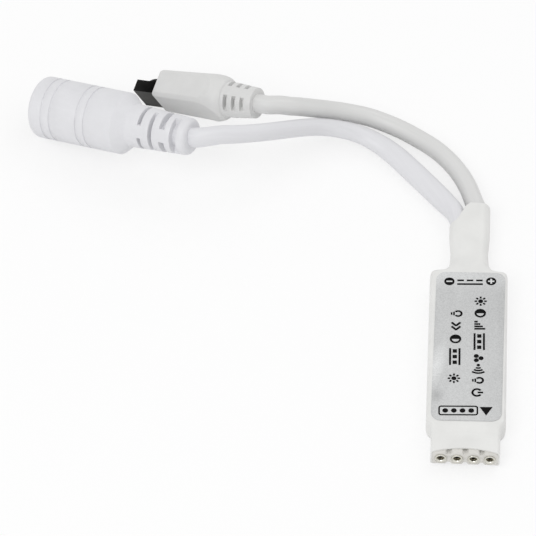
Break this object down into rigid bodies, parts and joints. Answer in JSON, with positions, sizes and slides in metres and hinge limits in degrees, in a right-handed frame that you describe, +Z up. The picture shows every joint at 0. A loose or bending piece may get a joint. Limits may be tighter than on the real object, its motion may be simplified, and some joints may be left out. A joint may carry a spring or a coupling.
{
  "type": "led strip controller",
  "caption": "Slim inline light strip controller in a shrunk white sleeve, with a pin socket strip at one end and cords to a round power socket and an infrared receiver head.",
  "frame": {"origin": "middle of the underside of the sleeved controller, on the table, measured without the two cords and what hangs on them", "axes": "+Y along the controller from the socket strip to the cords, +Z up out of the label, +X across the controller"},
  "size_m": [0.0798, 0.0785, 0.014],
  "materials": {
    "shrink_sleeve": "satin white shrink tube",
    "label_foil": "fine brushed silver foil",
    "circuit_board": "green solder mask",
    "chip_black": "matt moulded epoxy",
    "capacitor_tan": "fired ceramic",
    "socket_strip": "moulded plastic",
    "contact_sleeves": "tinned turned brass",
    "contact_clips": "gold plated spring",
    "solder": "bright solder",
    "power_cord": "soft white jacket",
    "receiver_cord": "soft grey-white jacket",
    "wire_red": "soft insulation",
    "wire_black": "soft insulation",
    "wire_yellow": "soft insulation",
    "jack_overmould": "satin soft moulding",
    "jack_core": "moulded insulator",
    "jack_metal": "plated",
    "receiver_overmould": "satin soft moulding",
    "receiver_sensor": "dark moulded resin"
  },
  "bodies": {
    "root": {"shrink_sleeve": "shrink_sleeve", "label_foil": "label_foil", "circuit_board": "circuit_board", "control_chip": "chip_black", "voltage_regulator": "chip_black", "polarity_diode": "chip_black", "power_transistors": "chip_black", "ceramic_capacitors": "capacitor_tan", "chip_resistors": "chip_black", "socket_strip": "socket_strip", "contact_sleeves": "contact_sleeves", "contact_clips": "contact_clips", "solder_joints": "solder", "power_cord": "power_cord", "power_wire_positive": "wire_red", "power_wire_negative": "wire_black", "receiver_cord": "receiver_cord", "receiver_wire_supply": "wire_red", "receiver_wire_ground": "wire_black", "receiver_wire_signal": "wire_yellow", "jack_overmould": "jack_overmould", "jack_core": "jack_core", "jack_centre_pin": "jack_metal", "jack_leaf_contact": "jack_metal", "jack_wire_tails": "wire_red", "receiver_overmould": "receiver_overmould", "receiver_sensor": "receiver_sensor", "receiver_leads": "solder", "receiver_wire_tails": "wire_yellow"}
  },
  "joints": []
}
